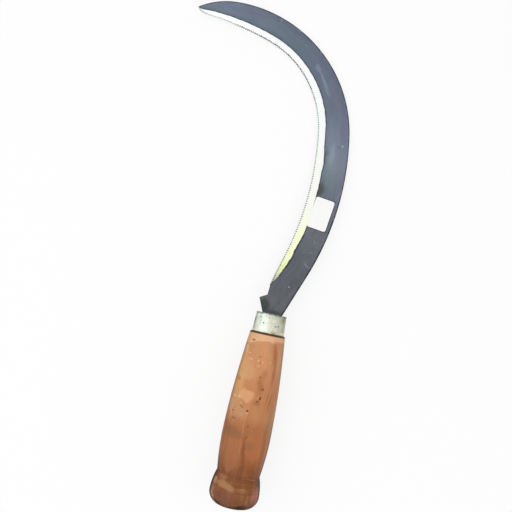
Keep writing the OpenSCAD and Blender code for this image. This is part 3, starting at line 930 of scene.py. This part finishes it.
    # A painted shadow in the joint just under the ferrule, and darker in the groove
    base = cover(base, fade(below, 18, 17), 0.96, (56, 30, 8))
    base = cover(base, rubbed(at, calc("ABSOLUTE", below - grooveY), 2.6, 0.2, 0.7), 0.28, (96, 62, 38))
    # Painted shade: darker down the handle's sides, most of it on the knob, and round the knob's end
    sideShade = fade(z, 9, 4.5) * fade(z, -13, -5, 0.35, 1) * fade(below, 116, 138, 0.25, 0.9) * fade(endFace, 0, 1, 1, 0.3)
    sideShadeBreakup = streaks(at, 0.2, 4, 0.3, 0.5, (1, 0.4, 1))
    base = cover(base, sideShade, sideShadeBreakup * 0.4 + 0.6, (56, 42, 32))
    # Darker round the knob's end: painted shade
    endShade = rubbed(at, handle["length"] - below, 9.6, 0.16, 0.4) * fade(endFace, 0, 1, 0.97, 0.3)
    base = cover(base, endShade, 1, (34, 20, 8))
    roughness = mixValue(calc("MAXIMUM", sideShade, endShade), fade(grain, 0, 1, 0.42, 0.56), 0.9)
    relief = grain * -0.35 + pores * -0.8 - calc("MAXIMUM", cracks, nicks) * 2
    deep = sum(markMask(shaken, *place) * strength for *place, strength, shade in flecks)
    normal = bump(deep * -1, 0.09, bump(relief, 0.09))
    plug(shader, {"Base Color": base, "Specular IOR Level": 0.25, "Roughness": roughness, "Normal": normal})
    return material


# Ferrule
ferrule = {
    "length": 16, "mouthD": 25, "baseD": 26.4, "wall": 1, "rim": 0.25,
    "steps": 256, "outerRings": 48, "innerRings": 6, "wrinkle": 0.16, "wrinkleLen": 2.6,
    "skin": 0.45,  # what lies no deeper than this is pitted
    # Stops round the two rims, as shares of the rim: inwards, and from the end
    "mouthStops": ((1, 0), (0.617, 0.076), (0.293, 0.293)), "baseStops": ((0.076, 0.617), (0.293, 0.293), (1, 0)),
    # Pits in the zinc: x, y and z on the ferrule, radius, depth
    "pits": (
        ((-9.07, -3.82, 8.83), 0.75, 0.32), ((-2.23, -3.52, 12.44), 0.5, 0.26), ((-6.04, -8.44, 11.36), 0.65, 0.3),
        ((4.07, -9.55, 12.26), 0.5, 0.22), ((6.62, -8.64, 11.04), 0.55, 0.3), ((2.69, -9.01, 12.61), 0.4, 0.14),
        ((5.35, -9.54, 11.75), 0.4, 0.16), ((-11, -10, -6.5), 0.7, 0.25), ((3, -6, -12.4), 0.6, 0.25),
        ((12.2, -11, 3.5), 0.6, 0.2), ((-3, -12, -12.6), 0.5, 0.2),
    ),
    # Shallow dents: the same values
    "dents": (
        ((-4, -12, 12.3), 3.2, 0.2), ((7.5, -5, 10.2), 3, 0.16), ((-11, -6, 6.2), 3.5, 0.18),
        ((10.5, -12, -7.5), 4, 0.2), ((-6, -5, -11.2), 3.6, 0.22), ((1.5, -4, 12.5), 2.4, 0.08),
    ),
}


def buildFerrule(material):
    mouth, root = ferrule["mouthD"] / 2, ferrule["baseD"] / 2
    wall, rim, length = ferrule["wall"], ferrule["rim"], ferrule["length"]
    start = [(mouth - rim * inward, rim * down) for inward, down in ferrule["mouthStops"]]
    finish = [(root - rim * inward, length - rim * up) for inward, up in ferrule["baseStops"]]
    n = ferrule["outerRings"]
    outer = [(mouth + (root - mouth) * i / n, rim + (length - 2 * rim) * i / n) for i in range(n + 1)]
    n = ferrule["innerRings"]
    inner = [(root - wall + (mouth - root) * i / n, length - (length - rim) * i / n) for i in range(n + 1)]
    bm = spinProfile(start + outer + finish + inner + [(mouth - wall + rim, 0)], ferrule["steps"], True)
    pits = [(Vector(at), radius, depth) for at, radius, depth in ferrule["pits"] + ferrule["dents"]]
    for vert in bm.verts:
        radius = hypot(vert.co.x, vert.co.z)
        if radius < mouth - (root - mouth) * vert.co.y / length - ferrule["skin"]:
            continue
        depth = dentDepth(pits, vert.co) + ferrule["wrinkle"] * unevenness(*(vert.co / ferrule["wrinkleLen"]))
        vert.co.x *= 1 - depth / radius
        vert.co.z *= 1 - depth / radius
    return finishPiece(bm, "ferruleRing", "ferrule", material, 50)


def ferruleMaterial():
    material, shader, at = newMaterial("agedZinc")
    shaken = ragged(at, 0.3, 1.2)
    # Across the ferrule the zinc's tone is palest left of the middle and darker to the right: painted highlight and
    # shade
    across = split(ragged(at, 0.16, 5))[0]
    base = ramp(across * (1 / 24) + 0.5, {
        0: (196, 202, 190), 0.1: (232, 243, 233), 0.26: (219, 229, 217), 0.42: (208, 211, 198),
        0.56: (224, 223, 207), 0.7: (204, 203, 186), 0.86: (200, 200, 182), 1: (174, 173, 151)})
    flakes = wire("SeparateColor", {0: wire("TexVoronoi", {"Vector": shaken, "Scale": 0.28}, "Color")})
    base = cover(base, flakes, 0.2, (166, 174, 158))
    film = streaks(shaken, 0.34, 4, 0.5, 0.7)
    base = cover(base, film, 0.4, (176, 176, 152))
    base = cover(base, streaks(shaken, 1.1, 3, 0.5, 0.62), 0.3, (164, 162, 136))
    base = paintMarks(shaken, base, [
        # Pale left of the middle: painted highlights
        ((-3, -11.5, 12), (5.5, 3, 6), -20, 0.6, 0.3, (228, 232, 224)),
        ((-5, -6, 11), (4.5, 4, 6), 0, 0.8, 0.4, (230, 240, 232)),
        # Dark on the right: painted shade
        ((10, -3, 8), (5, 5, 7), -10, 0.9, 0.8, (120, 124, 104)),
        ((-7, -13, 10), (6, 2.6, 6), -8, 0.7, 0.5, (230, 234, 224)),
        # A dark line down the left rim: painted shade
        ((-12.6, -8, 2), (1, 9, 4.5), 0, 0.7, 0.85, (84, 92, 84)),
        ((2.5, -3, 12), (5, 2.4, 5), 0, 0.8, 0.5, (172, 176, 158)),
        ((3.2, -14.8, 12), (3.4, 1.8, 6), -8, 0.8, 0.75, (150, 118, 76)),
        ((-10.6, -14.4, 8), (2.4, 1.8, 7), -8, 0.7, 0.8, (244, 226, 186)),
        ((10.9, -14.5, 7.3), (3, 1.8, 6), -8, 0.7, 0.7, (238, 220, 176)),
        ((-9.1, -3.8, 8.8), (1, 0.9, 3), 0, 0.6, 0.75, (84, 78, 66)),
        ((-2.2, -3.5, 12.4), (0.8, 0.7, 3), 0, 0.6, 0.7, (84, 78, 64)),
        ((-6, -8.4, 11.4), (0.9, 0.9, 3), 0, 0.6, 0.85, (70, 64, 52)),
        ((4.1, -9.6, 12.3), (0.9, 0.7, 3), 0, 0.6, 0.8, (86, 78, 60)),
        ((6.6, -8.6, 11), (1, 0.8, 3), 0, 0.6, 0.85, (80, 70, 54)),
        ((5.3, -9.6, 11.8), (1.6, 0.5, 3), 10, 0.6, 0.6, (110, 98, 76)),
    ])
    depth = split(at)[1] * -1
    base = cover(base, rubbed(at, depth, 2.6, 0.3, 0.5), 0.85, (84, 92, 76))
    base = cover(base, rubbed(at, ferrule["length"] - depth, 0.9, 0.35, 0.6), 0.7, (124, 96, 58))
    specks = spots(at, 0.7, 0.2, 0.15, 0.6)
    base = cover(base, specks, 0.4, (112, 104, 86))
    drawn = streaks(at, 1, 3, 0.3, 0.7, (0.15, 2.5, 0.15))
    roughness, normal = fade(film, 0, 1, 0.34, 0.5), bump(drawn * 0.25 - specks, 0.06)
    plug(shader, {"Base Color": base, "Metallic": 0.6, "Roughness": roughness, "Normal": normal})
    return material


# Price label: its settings are above the blade's material, which needs them too
def buildLabel(material):
    middle, turn = labelPlace()
    halfL, halfW, corner = label["length"] / 2, label["width"] / 2, label["cornerR"]
    bm = gridSlab(label["rows"], label["columns"], label["paperT"])
    for vert in bm.verts:
        x, y = (vert.co.x * 2 - 1) * halfW, (vert.co.y * 2 - 1) * halfL
        pastX, pastY = abs(x) - (halfW - corner), abs(y) - (halfL - corner)
        if pastX > 0 and pastY > 0:
            pull = max(pastX, pastY) / hypot(pastX, pastY)
            x = (halfW - corner + pastX * pull) * (1 if x > 0 else -1)
            y = (halfL - corner + pastY * pull) * (1 if y > 0 else -1)
        # The two outer corners have come a little loose, and the paper ripples over the plate
        loose = max(0, (x / halfW + abs(y) / halfL) - label["looseFrom"]) ** 2
        ripple = unevenness(x / label["rippleLen"], y / label["rippleLen"], 0)
        vert.co = (x, y, vert.co.z + label["paperT"] + label["lift"] * loose + label["ripple"] * ripple)
    bmesh.ops.rotate(bm, verts=bm.verts[:], cent=(0, 0, 0), matrix=Matrix.Rotation(turn, 3, "Z"))
    bmesh.ops.translate(bm, verts=bm.verts[:], vec=(middle.x, middle.y, blade["plateT"] / 2 - label["glue"]))
    return finishPiece(bm, "priceLabel", "price_label", material, 40)


def labelMaterial():
    material, shader, at = newMaterial("labelPaper")
    fibres = streaks(at, 2.6, 5, 0.3, 0.7, (1, 1, 0.2))
    base = cover(colour(255, 255, 254), fibres, 0.3, (249, 251, 250))
    base = cover(base, streaks(at, 0.12, 3, 0.5, 0.75), 0.4, (253, 253, 244))
    base = cover(base, spots(at, 0.5, 0.2, 0.12, 0.7), 0.12, (196, 200, 196))
    plug(shader, {"Base Color": base, "Roughness": 0.72, "Normal": bump(fibres, 0.03)})
    return material


buildBlade(bladeMaterial())
buildHandle(handleMaterial())
buildFerrule(ferruleMaterial())
buildLabel(labelMaterial())

# Floor, light and camera
studio = {
    "floorSize": 6, "floorColour": (0.5, 0.5, 0.5, 1), "floorGlow": 0.83, "floorShade": (0.165, 0.165, 0.165, 1),
    "skyLight": 0.67, "skySeen": 1, "horizon": 0.95,  # what lights, what metal reflects, what the camera sees
    # Soft lamps: place, size and power
    "lamps": (
        ("keyLamp", (-0.55, 0.15, 0.75), 1.3, 2.6), ("fillLamp", (0.6, -0.3, 0.8), 0.9, 0.9),
        ("frontLamp", (-0.15, -0.6, 0.8), 1, 1.4),
    ),
    "target": (0, 0, 0.01),
}
photoCamera = {
    "at": (0.0152216, -0.0005163, 0.7085), "turn": 12.1,
    "focal": 850, "frameSize": 512, "sensor": 36,  # focal length in pixels of a 512 pixel frame
    "clip": (0.01, 50),
}
white = (1, 1, 1, 1)


def cleared(data):
    data.use_nodes = True
    data.node_tree.nodes.clear()
    return data.node_tree


def seenRays(tree):
    # Rays of the camera, and those that see the bright background as well: glossy and transmission rays
    rays = addNode("LightPath", tree=tree).outputs
    camera, glossy, through = (Wire(rays[f"Is {kind} Ray"]) for kind in ("Camera", "Glossy", "Transmission"))
    return camera, calc("MAXIMUM", calc("MAXIMUM", camera, glossy), through)


def buildStudio():
    bm = bmesh.new()
    bmesh.ops.create_grid(bm, x_segments=1, y_segments=1, size=studio["floorSize"] / 2)
    mesh = asMesh(bm, "floor")
    floor = addObject("floor", mesh)
    material = bpy.data.materials.new("paleFloor")
    mesh.materials.append(material)
    tree = cleared(material)
    plain = wire("BsdfDiffuse", {"Color": studio["floorColour"]}, tree=tree)
    shown = wire("BsdfDiffuse", {"Color": studio["floorShade"]}, tree=tree)
    glow = wire("Emission", {"Color": white, "Strength": studio["floorGlow"]}, tree=tree)
    lit = wire("AddShader", {0: shown, 1: glow})
    addNode("OutputMaterial", {0: wire("MixShader", {0: seenRays(tree)[1], 1: plain, 2: lit})})
    world = bpy.context.scene.world = bpy.data.worlds.new("paleWorld")
    tree = cleared(world)
    light, seen, far = (wire("Background", {"Color": white, "Strength": studio[sky]}, tree=tree)
                        for sky in ("skyLight", "skySeen", "horizon"))
    toCamera, bright = seenRays(tree)
    mirrored = wire("MixShader", {0: bright, 1: light, 2: seen})
    addNode("OutputWorld", {0: wire("MixShader", {0: toCamera, 1: mirrored, 2: far})})
    for name, at, size, power in studio["lamps"]:
        data = bpy.data.lights.new(name, "AREA")
        data.shape, data.size, data.energy = "DISK", size, power
        lamp = addObject(name, data)
        lamp.location = at
        lamp.rotation_euler = (Vector(at) - Vector(studio["target"])).to_track_quat("Z", "Y").to_euler()


def buildCamera():
    data = bpy.data.cameras.new("photoCamera")
    data.sensor_width = photoCamera["sensor"]
    data.lens = photoCamera["focal"] * photoCamera["sensor"] / photoCamera["frameSize"]
    data.clip_start, data.clip_end = photoCamera["clip"]
    camera = addObject("photoCamera", data)
    camera.location = photoCamera["at"]
    camera.rotation_euler = (0, 0, radians(photoCamera["turn"]))
    bpy.context.scene.camera = camera


buildStudio()
buildCamera()
bpy.context.scene.view_settings.view_transform = "Standard"
print("studio and camera made")

bpy.context.view_layer.update()
